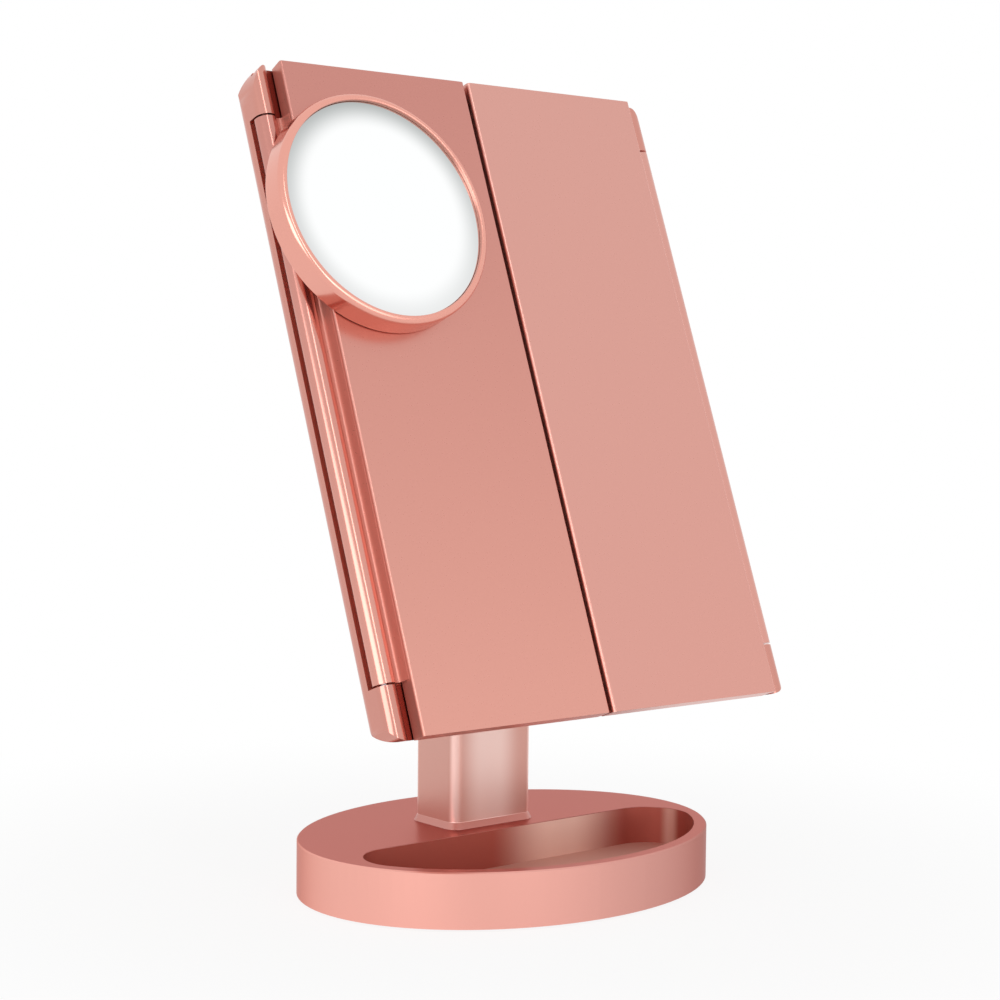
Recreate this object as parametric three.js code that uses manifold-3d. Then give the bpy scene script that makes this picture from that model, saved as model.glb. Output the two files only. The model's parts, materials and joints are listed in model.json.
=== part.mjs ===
// Trifold vanity mirror with a round spot mirror, standing on a column over an oval tray base.
// Millimetres, +Z up. x runs across the mirror, the doors face -y, and z = 0 is the table.
import * as THREE from "three";
import { mergeVertices } from "three/addons/utils/BufferGeometryUtils.js";
import Module from "manifold-3d";

const wasm = await Module();
wasm.setup();

// Clearances
const slip = 0.3; // between pieces that are laid or dropped into each other
const running = 0.35; // around a rod or bolt in its bore

// Base: an oval slab with a D-shaped tray sunk in front of the column
const baseHalfWidth = 81.1;
const baseHalfDepth = 64;
const baseTop = 20.1;
const baseRimLift = 0.8;
const baseEdge = 0.5;
const baseWall = 2.2;
const trayRim = 4.6;
const trayBack = -1.1;
const trayCorner = 15;
const trayFloorTop = 6.2;
const trayFloor = 2.2;
const padInset = 6;
const padThickness = 1;
const coverThickness = 1.8;
const weightThickness = 5;
const weightMargin = 1.5;
const postRadius = 3.4;
const coverScrewRadius = 1.3;
const coverScrewHead = 2.5;
const coverScrewGrip = 7;
const postInset = 14;
const postAngles = [15, 60, 120, 165];

// Column with its flared foot and the fork that carries the head
const columnWidth = 37.4;
const columnDepth = 24.4;
const columnCorner = 4;
const columnY = 19.3;
const columnWall = 2.2;
const columnSole = 4;
const columnPlug = 12;
const columnPort = 5;
const footSpread = 1.3;
const footHeight = 2.4;
const boltSpacing = 22;
const columnBoltRadius = 2;
const columnBoltHead = 3.6;
const columnBoltHeadHeight = 2.4;
const pivotHeight = 176.4;
const lugWidth = 14.8;
const lugRadius = 8.5;
const washerThickness = 0.6;
const washerRadius = 7;
const axleRadius = 2.5;
const axleHead = 4.2;
const axleHeadHeight = 2.7;
const earRecess = 4.6;
const capThickness = 1.2;

// Head: closed, it is as deep as the doors and the housing together
const restTilt = THREE.MathUtils.degToRad(20.8);
const headHeight = 238;
const headDepth = 18.8;
const pivotBehind = 14.75;
const pivotUp = 126.55;
const shellWall = 2;
const sideRadius = 5.5;
const backRadius = 14;
const headCorner = 6; // width of the rounded corners seen from the front
const headCornerTop = 13; // their height at the top
const headCornerBottom = 6;

// Doors and their long hinges
const faceWidth = 162.7;
const doorGap = 2.6;
const doorDepth = 7;
const doorEdge = 0.8;
const doorDraft = 0.9; // the doors' outer sides lean in towards the back
const doorFreeEdge = 1.5; // rounding of the edges that meet in the middle
const doorSkin = 4.5;
const doorLip = 3;
const doorRest = 0.5; // from a closed door to the front of the frame
const barrelRadius = 3.86;
const barrelOut = 5.77; // hinge line beyond the edge of the face
const barrelBack = 7.85; // hinge line behind the face
const knuckleLength = 18.5;
const knuckleGap = 0.7;
const coveFloor = 6;
const coveWidth = 1.5;
const webBack = 8.5;
const troughGap = 1.45; // between a barrel and the trough it turns in
const hollowOut = 2.6; // how far the housing's hollow reaches beyond the edge of the face
const troughWall = 2.7;
const rodRadius = 1.25;
const rodFloor = 2.2;
const rodSink = 4;
const doorGlass = 2;
const magnetRadius = 3.5;
const magnetThickness = 1.3;
const magnetSide = 9;
const magnetDown = 7.5;

// Front frame, centre mirror and lights
const lipWall = 1.6;
const frameInset = 4;
const frameDepth = 4.7;
const frameFaceSide = 2.1;
const frameRim = 1.9;
const lightBar = 2;
const mirrorMargin = 8.3;
const mirrorThickness = 2.5;
const mirrorRecess = 0.5;
const lightWidth = 7.8;
const lightEnd = 10;
const lightThickness = 2.2;
const lightLedge = 1.4;
const ledBoardWidth = 7;
const ledBoardThickness = 1;
const ledCount = 12;
const ledSize = 3;
const ledHeight = 0.8;
const touchRadius = 6;
const touchUp = 20;
const catchWidth = 28;
const catchHeight = 2.6;
const catchThickness = 1.2;
const bossRadius = 2.8;
const frameScrewX = 58;
const frameScrewIn = 19;
const frameScrewRadius = 1.1;
const frameScrewHead = 2.3;
const frameScrewHeadHeight = 0.9;

// Electronics at the bottom of the housing
const boardWidth = 96;
const boardHeight = 20;
const boardUp = 30;
const boardThickness = 1.2;
const boardPost = 2.5;
const socketX = 30;
const socketWidth = 8;
const socketHeight = 3;
const socketWall = 0.5;
const socketFloor = 0.8;
const switchWidth = 5;
const switchHeight = 11;
const switchThickness = 1.4;
const knobWidth = 3;
const knobHeight = 4;
const knobProud = 1.2;
const switchTravel = 3;

// Battery pod on the back of the housing
const cellRadius = 5.25;
const cellLength = 44.5;
const cellCount = 4;
const cellGap = 0.6;
const plateThickness = 0.5;
const springLength = 2.6;
const trayWall = 1.2;
const podWall = 1.8;
const podUp = 154;
const podCorner = 4;
const batteryCover = 1.7;
const coverTongue = 0.7;
const coverRail = 0.8;

// Tilt bracket on the back of the housing
const bracketWidth = 34;
const bracketHeight = 40;
const bracketThickness = 1.8;
const bracketCorner = 4;
const bracketScrewX = 12.4;
const bracketScrewUp = 14.8;
const bracketScrewRadius = 1.2;
const bracketScrewHead = 2.4;
const bracketScrewHeadHeight = 1;
const bracketBoss = 4;

// Spot mirror
const spotX = -57;
const spotUp = 180.5;
const spotRadius = 42.75;
const spotGlassRadius = 39.6;
const spotDepth = 10.2;
const spotBevel = 0.6;
const spotGlassSet = 1.5; // glass edge below the rim
const spotGlassEdge = 2.8;
const spotSag = 1.5; // hollow of the magnifying glass
const spotMagnetRadius = 10;
const spotMagnetThickness = 2;
const spotFloor = 1.4;
const keeperRadius = 14;
const keeperThickness = 0.8;

// Worked out from the sizes above
const faceHalf = faceWidth / 2;
const axisX = faceHalf + barrelOut;
const sideX = axisX + barrelRadius; // the housing's sides are flush with the barrels
const frameFront = doorDepth + doorRest;
const frameBack = frameFront + frameDepth;
const innerBack = headDepth - shellWall;
const lipX = faceHalf - 0.85; // outside of the lip around the frame
const frameX = lipX - lipWall - slip;
const barrelLow = knuckleLength + knuckleGap;
const barrelHigh = headHeight - knuckleLength - knuckleGap;
const boreRadius = rodRadius + running;
const axleBore = axleRadius + running;
const pivotBack = headDepth + pivotBehind;
const mirrorFront = frameFront + mirrorRecess;
const lightX = frameX - frameRim - slip - lightWidth / 2;
const mirrorHalf = lightX - lightWidth / 2 - slip - lightBar - slip;
const lightTop = headHeight - lightEnd;
const coverBottom = padThickness;
const coverTop = coverBottom + coverThickness;
const earInner = lugWidth / 2 + washerThickness + slip * 1.5;
const earOuter = columnWidth / 2;
const hollowX = faceHalf + hollowOut;

// Outlines
function rectangle(left, bottom, right, top) {
  const shape = new THREE.Shape();
  shape.moveTo(left, bottom).lineTo(right, bottom).lineTo(right, top).lineTo(left, top).closePath();
  return shape;
}

function disc(radius, x = 0, y = 0) {
  const shape = new THREE.Shape();
  shape.absarc(x, y, radius, 0, Math.PI * 2);
  return shape;
}

function roundedRectangle(width, height, radius, x = 0, y = 0) {
  const right = x + width / 2 - radius;
  const left = x - width / 2 + radius;
  const top = y + height / 2 - radius;
  const bottom = y - height / 2 + radius;
  const shape = new THREE.Shape();
  shape.absarc(right, top, radius, 0, Math.PI / 2);
  shape.absarc(left, top, radius, Math.PI / 2, Math.PI);
  shape.absarc(left, bottom, radius, Math.PI, Math.PI * 1.5);
  shape.absarc(right, bottom, radius, Math.PI * 1.5, Math.PI * 2);
  return shape;
}

function oval(inset = 0) {
  const shape = new THREE.Shape();
  shape.absellipse(0, 0, baseHalfWidth - inset, baseHalfDepth - inset, 0, Math.PI * 2);
  return shape;
}

// Solids that can be joined and cut
function solid(geometry) {
  const bare = geometry.index ? geometry.toNonIndexed() : geometry.clone();
  bare.deleteAttribute("normal");
  bare.deleteAttribute("uv");
  const merged = mergeVertices(bare, 1e-4);
  const corners = [];
  for (let i = 0; i < merged.index.count; i += 3) {
    const [a, b, c] = [0, 1, 2].map((k) => merged.index.getX(i + k));
    if (a !== b && b !== c && c !== a) corners.push(a, b, c);
  }
  const vertProperties = merged.attributes.position.array;
  const triVerts = new Uint32Array(corners);
  return new wasm.Manifold(new wasm.Mesh({ numProp: 3, vertProperties, triVerts }));
}

function extruded(shape, depth, arc) {
  return new THREE.ExtrudeGeometry(shape, { depth, bevelEnabled: false, curveSegments: arc });
}

// a plan outline raised from one height to another
function raised(shape, low, high, arc = 6) {
  return solid(extruded(shape, high - low, arc).translate(0, 0, low));
}

// an outline seen from the front, carried from one depth to another
function deepened(shape, front, back, arc = 6) {
  return solid(extruded(shape, back - front, arc).rotateX(Math.PI / 2).translate(0, back, 0));
}

// an outline of depth and height, carried across from left to right
const acrossBasis = new THREE.Matrix4().makeBasis(
  new THREE.Vector3(0, 1, 0), new THREE.Vector3(0, 0, 1), new THREE.Vector3(1, 0, 0));
function across(shape, left, right, arc = 6) {
  return solid(extruded(shape, right - left, arc).applyMatrix4(acrossBasis).translate(left, 0, 0));
}

// a profile of radius and distance turned about the y axis
function turned(profile, segments = 32) {
  const points = profile.map(([radius, along]) => new THREE.Vector2(radius, along));
  return solid(new THREE.LatheGeometry(points, segments));
}

function geometryOf(body) {
  const mesh = body.getMesh();
  const geometry = new THREE.BufferGeometry();
  geometry.setAttribute("position", new THREE.BufferAttribute(new Float32Array(mesh.vertProperties), 3));
  geometry.setIndex(new THREE.BufferAttribute(new Uint32Array(mesh.triVerts), 1));
  return geometry;
}

// Base
const posts = postAngles.map((degrees) => {
  const angle = THREE.MathUtils.degToRad(degrees);
  return [(baseHalfWidth - postInset) * Math.cos(angle), (baseHalfDepth - postInset) * Math.sin(angle)];
});
const boltPlaces = [-boltSpacing / 2, boltSpacing / 2];

// the tray's outline, its corners rounded into the oval; grow makes room for the wall around it
function trayOutline(grow = 0) {
  const a = baseHalfWidth - trayRim + grow;
  const b = baseHalfDepth - trayRim + grow;
  const back = trayBack + grow;
  const radius = trayCorner + grow;
  const normal = (angle) => {
    const n = new THREE.Vector2(b * Math.cos(angle), a * Math.sin(angle));
    return n.normalize();
  };
  let low = -Math.PI / 2;
  let high = 0;
  for (let i = 0; i < 40; i += 1) {
    const middle = (low + high) / 2;
    const height = b * Math.sin(middle) - radius * normal(middle).y;
    if (height > back - radius) high = middle;
    else low = middle;
  }
  const n = normal(low);
  const centre = a * Math.cos(low) - radius * n.x;
  const turn = Math.atan2(n.y, n.x);
  const shape = new THREE.Shape();
  shape.absarc(centre, back - radius, radius, Math.PI / 2, turn, true);
  shape.absellipse(0, 0, a, b, low, -Math.PI - low, true);
  shape.absarc(-centre, back - radius, radius, -Math.PI - turn, Math.PI / 2 - Math.PI * 2, true);
  shape.closePath();
  return shape;
}

// the oval slab with its top edge taken off
function baseSlab() {
  const slab = new THREE.ExtrudeGeometry(oval(baseEdge), {
    depth: baseTop - baseRimLift - baseEdge,
    bevelThickness: baseEdge, bevelSize: baseEdge, bevelSegments: 1, curveSegments: 48,
  });
  return solid(slab.translate(0, 0, baseRimLift)).intersect(raised(oval(), baseRimLift, baseTop, 48));
}

function baseShell() {
  const underTray = trayFloorTop - trayFloor;
  const behindTray = rectangle(-baseHalfWidth, trayBack + baseWall, baseHalfWidth, baseHalfDepth);
  const rearRoom = raised(oval(baseWall), 0, baseTop - baseWall, 40)
    .intersect(raised(behindTray, 0, baseTop));
  let body = baseSlab()
    .subtract(raised(oval(baseWall), 0, underTray, 40))
    .subtract(rearRoom)
    .subtract(raised(trayOutline(), trayFloorTop, baseTop + 1, 12));
  for (const [x, y] of posts) {
    body = body.add(raised(disc(postRadius, x, y), coverTop + slip, baseTop - baseWall / 2, 8))
      .subtract(raised(disc(coverScrewRadius + slip, x, y), 0, coverTop + coverScrewGrip, 6));
  }
  for (const x of boltPlaces) {
    const hole = disc(columnBoltRadius + slip, x, columnY);
    body = body.subtract(raised(hole, baseTop - baseWall - 1, baseTop + 1, 6));
  }
  return body;
}

function baseCover() {
  let body = raised(oval(baseWall + slip), coverBottom, coverTop, 40);
  for (const [x, y] of posts) {
    body = body
      .subtract(raised(disc(coverScrewRadius + slip, x, y), 0, coverTop + 1, 6))
      .subtract(raised(disc(coverScrewHead + slip, x, y), 0, coverBottom + coverThickness / 2, 8));
  }
  return body;
}

function baseWeight() {
  const low = coverTop + slip;
  const edge = trayBack + baseWall + weightMargin;
  const behind = rectangle(-baseHalfWidth, edge, baseHalfWidth, baseHalfDepth);
  let body = raised(oval(baseWall + weightMargin), low, low + weightThickness, 40)
    .intersect(raised(behind, 0, baseTop));
  for (const [x, y] of posts) {
    body = body.subtract(raised(disc(postRadius + slip, x, y), 0, baseTop, 8));
  }
  return body;
}

function footPad() {
  return raised(oval(padInset), 0, padThickness, 36);
}

function coverScrew([x, y]) {
  const headTop = coverBottom + coverThickness / 2 - slip;
  return raised(disc(coverScrewHead, x, y), coverBottom, headTop, 8)
    .add(raised(disc(coverScrewRadius, x, y), coverBottom, coverTop + coverScrewGrip - 1, 6));
}

// Column
function footFlare() {
  const outline = roundedRectangle(columnWidth, columnDepth, columnCorner, 0, columnY);
  const flared = new THREE.ExtrudeGeometry(outline, {
    depth: footHeight,
    bevelThickness: footHeight, bevelSize: footSpread, bevelSegments: 1, curveSegments: 4,
  });
  const room = rectangle(-columnWidth, columnY - columnWidth, columnWidth, columnY + columnWidth);
  return solid(flared.translate(0, 0, baseTop - footHeight)).intersect(raised(room, baseTop, pivotHeight));
}

function column() {
  const outline = roundedRectangle(columnWidth, columnDepth, columnCorner, 0, columnY);
  const side = new THREE.Shape();
  side.moveTo(columnY - columnDepth / 2, baseTop).lineTo(columnY + columnDepth / 2, baseTop);
  side.absarc(columnY, pivotHeight, columnDepth / 2, 0, Math.PI);
  side.closePath();
  const inside = roundedRectangle(columnWidth - columnWall * 2, columnDepth - columnWall * 2,
    columnCorner - columnWall, 0, columnY);
  const forkBottom = pivotHeight - lugRadius - slip * 4;
  const fork = rectangle(-earInner, forkBottom, earInner, pivotHeight + columnDepth);
  const boltRoom = disc(axleHead + slip * 2, columnY, pivotHeight);
  let body = raised(outline, baseTop, pivotHeight + columnDepth, 4)
    .intersect(across(side, -columnWidth, columnWidth, 10))
    .add(footFlare())
    .subtract(raised(inside, baseTop + columnSole, forkBottom - columnPlug, 3))
    .subtract(raised(disc(columnPort, 0, columnY), baseTop - 1, baseTop + columnSole + 1, 8))
    .subtract(deepened(fork, columnY - columnDepth, columnY + columnDepth))
    .subtract(across(disc(axleBore, columnY, pivotHeight), -columnWidth, columnWidth, 8))
    .subtract(across(boltRoom, earOuter - earRecess, columnWidth, 10))
    .subtract(across(boltRoom, -columnWidth, earRecess - earOuter, 10));
  for (const x of boltPlaces) {
    const hole = disc(columnBoltRadius + slip, x, columnY);
    body = body.subtract(raised(hole, baseTop - 1, baseTop + columnSole + 1, 6));
  }
  return body;
}

function columnBolt(x) {
  const seat = baseTop - baseWall;
  return raised(disc(columnBoltHead, x, columnY), seat - columnBoltHeadHeight, seat, 10)
    .add(raised(disc(columnBoltRadius, x, columnY), seat - columnBoltHeadHeight, baseTop + columnSole, 8));
}

function axleBolt() {
  const seat = earRecess - earOuter;
  const shank = disc(axleRadius, columnY, pivotHeight);
  return across(disc(axleHead, columnY, pivotHeight), seat - axleHeadHeight, seat, 10)
    .add(across(shank, seat - 1, earOuter - earRecess + axleHeadHeight, 8));
}

function axleNut() {
  const hexagon = new THREE.Shape();
  for (let i = 0; i < 6; i += 1) {
    const angle = (i * Math.PI) / 3;
    const point = [columnY + axleHead * Math.cos(angle), pivotHeight + axleHead * Math.sin(angle)];
    if (i === 0) hexagon.moveTo(...point);
    else hexagon.lineTo(...point);
  }
  hexagon.closePath();
  const seat = earOuter - earRecess;
  return across(hexagon, seat, seat + axleHeadHeight)
    .subtract(across(disc(axleRadius + slip, columnY, pivotHeight), seat - 1, earOuter, 8));
}

function washer(side) {
  const middle = side * (lugWidth / 2 + slip * 0.75 + washerThickness / 2);
  const low = middle - washerThickness / 2;
  return across(disc(washerRadius, columnY, pivotHeight), low, low + washerThickness, 10)
    .subtract(across(disc(axleBore, columnY, pivotHeight), low - 1, low + washerThickness + 1, 8));
}

function endCap(side) {
  const inner = earOuter - slip - capThickness;
  const left = side > 0 ? inner : -inner - capThickness;
  return across(disc(axleHead + slip, columnY, pivotHeight), left, left + capThickness, 10);
}

// Head housing. Here y runs back from the closed doors' face and z up from the bottom of the doors.
function housingProfile(inset) {
  const radius = backRadius - inset;
  const low = inset;
  const high = headHeight - inset;
  const back = headDepth - inset;
  const shape = new THREE.Shape();
  shape.moveTo(0, low).lineTo(back - radius, low);
  shape.absarc(back - radius, low + radius, radius, -Math.PI / 2, 0);
  shape.absarc(back - radius, high - radius, radius, 0, Math.PI / 2);
  shape.lineTo(0, high).closePath();
  return shape;
}

function housingSection() {
  const shape = new THREE.Shape();
  const corner = sideX - sideRadius;
  shape.moveTo(-sideX, barrelBack).lineTo(barrelRadius - axisX, barrelBack);
  shape.lineTo(barrelRadius - axisX, frameFront).lineTo(axisX - barrelRadius, frameFront);
  shape.lineTo(axisX - barrelRadius, barrelBack).lineTo(sideX, barrelBack);
  shape.absarc(corner, headDepth - sideRadius, sideRadius, 0, Math.PI / 2);
  shape.absarc(-corner, headDepth - sideRadius, sideRadius, Math.PI / 2, Math.PI);
  shape.closePath();
  return shape;
}

// the housing seen from the front, its upper corners falling away further than its lower ones
function housingOutline() {
  const corner = sideX - headCorner;
  const high = headHeight - headCornerTop;
  const shape = new THREE.Shape();
  shape.absellipse(corner, high, headCorner, headCornerTop, 0, Math.PI / 2);
  shape.absellipse(-corner, high, headCorner, headCornerTop, Math.PI / 2, Math.PI);
  shape.absellipse(-corner, headCornerBottom, headCorner, headCornerBottom, Math.PI, Math.PI * 1.5);
  shape.absellipse(corner, headCornerBottom, headCorner, headCornerBottom, Math.PI * 1.5, Math.PI * 2);
  shape.closePath();
  return shape;
}

// the hollow behind the frame widens behind the hinge channels
function hollowSection() {
  const frameSeat = frameX + slip;
  const step = frameBack + slip;
  const wide = step + troughWall;
  const shape = new THREE.Shape();
  shape.moveTo(-frameSeat, 0).lineTo(frameSeat, 0).lineTo(frameSeat, step).lineTo(hollowX, wide);
  shape.lineTo(hollowX, innerBack).lineTo(-hollowX, innerBack).lineTo(-hollowX, wide);
  shape.lineTo(-frameSeat, step).closePath();
  return shape;
}

// the round trough in which a door's barrel turns, open to the front and to the side
function channel(side) {
  const reach = barrelRadius + troughGap;
  const shoulder = webBack + slip * 2;
  const dip = Math.asin((shoulder - barrelBack) / reach);
  const crest = Math.acos(barrelRadius / reach);
  const shape = new THREE.Shape();
  shape.moveTo(side * lipX, -1).lineTo(side * lipX, shoulder);
  if (side > 0) shape.absarc(axisX, barrelBack, reach, Math.PI - dip, crest, true);
  else shape.absarc(-axisX, barrelBack, reach, dip, Math.PI - crest, false);
  const crestBack = barrelBack + reach * Math.sin(crest);
  shape.lineTo(side * (sideX + 1), crestBack).lineTo(side * (sideX + 1), -1).closePath();
  return raised(shape, knuckleLength, headHeight - knuckleLength, 7);
}

function knuckles(side) {
  const barrel = disc(barrelRadius, side * axisX, barrelBack);
  return raised(barrel, 0, knuckleLength, 12)
    .add(raised(barrel, headHeight - knuckleLength, headHeight, 12));
}

function podHalfWidth() {
  return (cellRadius * 2 * cellCount + cellGap * (cellCount + 1)) / 2 + trayWall + slip;
}

function podInnerHeight() {
  return plateThickness * 2 + springLength + cellLength + slip * 4 + trayWall * 2;
}

// the battery pod's layers, from the tray's floor to the cover's face
const trayFront = frameBack + slip + 0.1;
const cellBack = trayFront + trayWall + slip + cellRadius;
const coverInner = cellBack + cellRadius + slip;
const podBack = coverInner + batteryCover;
const podOpen = podHalfWidth();
const podHalf = podOpen + coverRail + slip + podWall;
const podTop = podUp + podWall * 2 + podInnerHeight();
const podMiddle = (podUp + podTop) / 2;

function coverSection(grow) {
  const shape = new THREE.Shape();
  const wide = podOpen + coverRail + grow;
  const narrow = podOpen - coverRail + grow;
  const tongue = coverInner + coverTongue + grow;
  shape.moveTo(-wide, coverInner - grow).lineTo(wide, coverInner - grow).lineTo(wide, tongue);
  shape.lineTo(narrow, tongue).lineTo(narrow, podBack + grow);
  shape.lineTo(-narrow, podBack + grow).lineTo(-narrow, tongue);
  shape.lineTo(-wide, tongue).closePath();
  return shape;
}

function pod() {
  const outline = roundedRectangle(podHalf * 2, podTop - podUp, podCorner, 0, podMiddle);
  return deepened(outline, innerBack, podBack, 5);
}

function podRoom() {
  const low = podUp + podWall;
  const inside = rectangle(-podOpen, low, podOpen, low + podInnerHeight() + slip * 2);
  return deepened(inside, frameBack, coverInner + 0.5)
    .add(raised(coverSection(slip), podUp + podWall, podTop + 1));
}

const frameScrewPlaces = [[-1, 0], [1, 0], [-1, 1], [1, 1]].map(([side, top]) =>
  [side * frameScrewX, top ? headHeight - frameScrewIn : frameScrewIn]);
const bracketScrewPlaces = [-1, 1].map((side) => [side * bracketScrewX, pivotUp + side * bracketScrewUp]);
const boardMiddle = boardUp + boardHeight / 2;
const boardPosts = [-1, 1].map((side) => [side * (boardWidth / 2 - 4), boardMiddle]);

function rearShell() {
  const frameRoom = rectangle(-frameX - slip, frameInset - slip,
    frameX + slip, headHeight - frameInset + slip);
  let body = raised(housingSection(), 0, headHeight, 6).add(knuckles(1)).add(knuckles(-1))
    .intersect(across(housingProfile(0), -sideX - 1, sideX + 1, 8))
    .intersect(deepened(housingOutline(), 0, headDepth, 6))
    .subtract(raised(hollowSection(), 0, headHeight, 4).intersect(
      across(housingProfile(shellWall), -sideX, sideX, 8)))
    .subtract(deepened(frameRoom, 0, frameBack + slip))
    .subtract(channel(1)).subtract(channel(-1))
    .add(pod()).subtract(podRoom());
  for (const side of [-1, 1]) {
    body = body.subtract(raised(disc(boreRadius, side * axisX, barrelBack), rodFloor, headHeight + 1, 8));
  }
  for (const [x, z] of frameScrewPlaces) {
    const seat = headDepth - frameScrewHeadHeight - 0.1;
    body = body.subtract(deepened(disc(frameScrewRadius + slip, x, z), innerBack - 1, headDepth + 1, 6))
      .subtract(deepened(disc(frameScrewHead + slip, x, z), seat, headDepth + 1, 8));
  }
  for (const [x, z] of bracketScrewPlaces) {
    body = body.add(deepened(disc(bossRadius, x, z), innerBack - bracketBoss, headDepth - shellWall / 2, 8))
      .subtract(deepened(disc(bracketScrewRadius + slip, x, z), innerBack - bracketBoss + 1, headDepth, 6));
  }
  for (const [x, z] of boardPosts) {
    body = body.add(deepened(disc(bossRadius, x, z), innerBack - boardPost, headDepth - shellWall / 2, 8));
  }
  const slotHeight = knobHeight + switchTravel + slip * 2;
  const slot = roundedRectangle(knobWidth + slip * 2, slotHeight, slip * 2, -socketX, boardMiddle);
  const mouth = rectangle(socketX - socketWidth / 2 - slip, boardMiddle - socketHeight / 2 - slip,
    socketX + socketWidth / 2 + slip, boardMiddle + socketHeight / 2 + slip);
  return body.subtract(deepened(slot, innerBack - 1, headDepth + 1, 3))
    .subtract(deepened(mouth, innerBack - 1, headDepth + 1));
}

function frontFrame() {
  const low = frameInset;
  const high = headHeight - frameInset;
  const glassBack = mirrorFront + mirrorThickness + slip;
  const glassHalf = mirrorHalf + slip;
  const glassRoom = rectangle(-glassHalf, mirrorMargin - slip, glassHalf, headHeight - mirrorMargin + slip);
  const touchRoom = disc(touchRadius + slip, 0, touchUp + mirrorMargin);
  const catchUp = headHeight - (mirrorMargin + frameInset) / 2;
  const catchRoom = rectangle(-catchWidth / 2 - slip, catchUp - catchHeight / 2 - slip,
    catchWidth / 2 + slip, catchUp + catchHeight / 2 + slip);
  let body = deepened(rectangle(-frameX, low, frameX, high), frameFront, frameBack)
    .subtract(deepened(glassRoom, frameFront - 1, glassBack))
    .subtract(deepened(touchRoom, frameFront, glassBack + 0.9, 8))
    .subtract(deepened(catchRoom, frameFront - 1, frameFront + catchThickness + slip * 2));
  for (const side of [-1, 1]) {
    const middle = side * lightX;
    const half = lightWidth / 2 + slip;
    const seat = rectangle(middle - half, lightEnd - slip, middle + half, lightTop + slip);
    const window = rectangle(middle - half + lightLedge, lightEnd + lightLedge,
      middle + half - lightLedge, lightTop - lightLedge);
    body = body.subtract(deepened(seat, frameFront - 1, mirrorFront + lightThickness + slip))
      .subtract(deepened(window, frameFront, frameBack + 1));
  }
  for (const [x, z] of frameScrewPlaces) {
    body = body.add(deepened(disc(bossRadius, x, z), frameBack - 0.5, innerBack - slip, 8))
      .subtract(deepened(disc(frameScrewRadius + slip, x, z), frameBack, innerBack, 6));
  }
  return body;
}

function centreMirror() {
  const pane = rectangle(-mirrorHalf, mirrorMargin, mirrorHalf, headHeight - mirrorMargin);
  return deepened(pane, mirrorFront, mirrorFront + mirrorThickness);
}

function touchPad() {
  const front = mirrorFront + mirrorThickness + slip;
  return deepened(disc(touchRadius, 0, touchUp + mirrorMargin), front, front + 0.6, 8);
}

function catchStrip() {
  const up = headHeight - (mirrorMargin + frameInset) / 2;
  const strip = rectangle(-catchWidth / 2, up - catchHeight / 2, catchWidth / 2, up + catchHeight / 2);
  return deepened(strip, frameFront + slip, frameFront + slip + catchThickness);
}

function lightStrip(side) {
  const middle = side * lightX;
  const strip = rectangle(middle - lightWidth / 2, lightEnd, middle + lightWidth / 2, lightTop);
  return deepened(strip, mirrorFront, mirrorFront + lightThickness);
}

function ledBoard(side) {
  const front = frameBack + slip;
  const middle = side * lightX;
  const low = lightEnd + lightLedge * 2;
  const high = lightTop - lightLedge * 2;
  const board = rectangle(middle - ledBoardWidth / 2, low, middle + ledBoardWidth / 2, high);
  let body = deepened(board, front, front + ledBoardThickness);
  for (let i = 0; i < ledCount; i += 1) {
    const z = low + ((i + 0.5) * (high - low)) / ledCount;
    const chip = rectangle(middle - ledSize / 2, z - ledSize / 2, middle + ledSize / 2, z + ledSize / 2);
    body = body.add(deepened(chip, front - ledHeight, front + ledBoardThickness / 2));
  }
  return body;
}

function frameScrew([x, z]) {
  const headFront = headDepth - frameScrewHeadHeight;
  return deepened(disc(frameScrewHead, x, z), headFront + slip - 0.2, headDepth - 0.1, 8)
    .add(deepened(disc(frameScrewRadius, x, z), frameBack + slip, headDepth - 0.2, 6));
}

function hingeRod(side) {
  return raised(disc(rodRadius, side * axisX, barrelBack), rodFloor + slip, headHeight - rodSink, 6);
}

// Control board, power socket and switch
const boardBack = innerBack - boardPost - slip;
const boardFront = boardBack - boardThickness;

function controlBoard() {
  const board = rectangle(-boardWidth / 2, boardUp, boardWidth / 2, boardUp + boardHeight);
  return deepened(board, boardFront, boardBack);
}

function powerSocket() {
  const half = socketWidth / 2;
  const outer = rectangle(socketX - half, boardMiddle - socketHeight / 2,
    socketX + half, boardMiddle + socketHeight / 2);
  const inner = rectangle(socketX - half + socketWall, boardMiddle - socketHeight / 2 + socketWall,
    socketX + half - socketWall, boardMiddle + socketHeight / 2 - socketWall);
  const front = boardBack + slip;
  return deepened(outer, front, headDepth - slip).subtract(deepened(inner, front + socketFloor, headDepth));
}

function switchBody() {
  const front = boardBack + slip;
  const block = rectangle(-socketX - switchWidth / 2, boardMiddle - switchHeight / 2,
    -socketX + switchWidth / 2, boardMiddle + switchHeight / 2);
  return deepened(block, front, front + switchThickness);
}

function switchSlider() {
  const front = boardBack + switchThickness + slip * 2;
  const middle = boardMiddle - switchTravel / 2;
  const knob = roundedRectangle(knobWidth, knobHeight, slip, -socketX, middle);
  return deepened(knob, front, headDepth + knobProud, 3);
}

// Battery tray, cells and contacts
const trayLow = podUp + podWall + slip;
const trayHigh = trayLow + podInnerHeight();
const cellLow = trayLow + trayWall + plateThickness + springLength + slip * 2;
const cellX = (i) => (i - (cellCount - 1) / 2) * (cellRadius * 2 + cellGap);

function batteryTray() {
  const half = podOpen - slip;
  const outer = rectangle(-half, trayLow, half, trayHigh);
  const inner = rectangle(trayWall - half, trayLow + trayWall, half - trayWall, trayHigh - trayWall);
  return deepened(outer, trayFront, cellBack).subtract(deepened(inner, trayFront + trayWall, cellBack + 1));
}

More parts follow.
